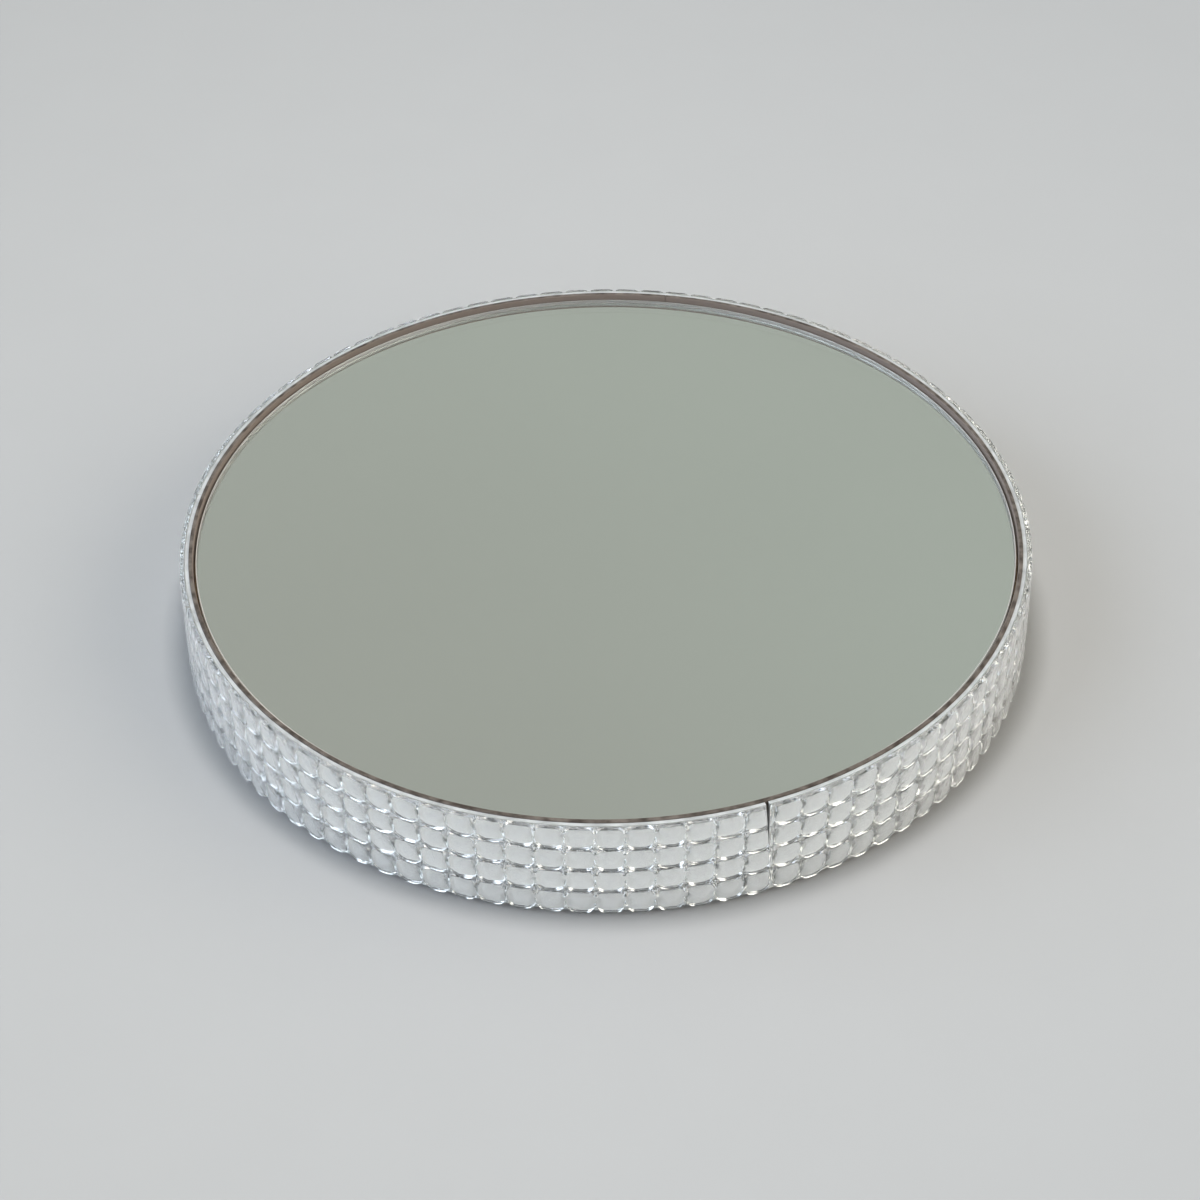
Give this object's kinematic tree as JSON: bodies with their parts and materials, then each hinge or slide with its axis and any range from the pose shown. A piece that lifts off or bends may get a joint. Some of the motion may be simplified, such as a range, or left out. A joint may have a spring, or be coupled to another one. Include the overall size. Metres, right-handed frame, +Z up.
{
  "type": "candle plate",
  "caption": "Round low candle plate: a mirror disc on a thick board, a thin brown hoop round it and a side band of clear square stones in rows.",
  "frame": {"origin": "centre of the plate on the surface that it stands on, at the underside of the felt pads", "axes": "+Z up, -Y towards the viewer of the picture, +X to the right"},
  "size_m": [0.2, 0.2, 0.0266],
  "materials": {
    "fibreboard": "raw fibreboard",
    "glue": "cured glue",
    "silver": "silvered",
    "glass": "polished, ground edge",
    "hoop_strip": "dark brown bent fibre strip",
    "clear_acrylic": "clear moulded",
    "foil": "bright foil",
    "film": "white adhesive film",
    "felt": "felt"
  },
  "bodies": {
    "root": {"base_board": "fibreboard", "mirror_adhesive": "glue", "mirror_backing": "silver", "mirror_glass": "glass", "hoop": "hoop_strip", "crystal_panel_1": "clear_acrylic", "crystal_panel_2": "clear_acrylic", "crystal_panel_3": "clear_acrylic", "crystal_panel_4": "clear_acrylic", "crystal_panel_5": "clear_acrylic", "crystal_panel_6": "clear_acrylic", "foil_strip_1": "foil", "foil_strip_2": "foil", "foil_strip_3": "foil", "foil_strip_4": "foil", "foil_strip_5": "foil", "foil_strip_6": "foil", "film_strip_1": "film", "film_strip_2": "film", "film_strip_3": "film", "film_strip_4": "film", "film_strip_5": "film", "film_strip_6": "film", "felt_pad_1": "felt", "felt_pad_2": "felt", "felt_pad_3": "felt", "felt_pad_4": "felt"}
  },
  "joints": []
}
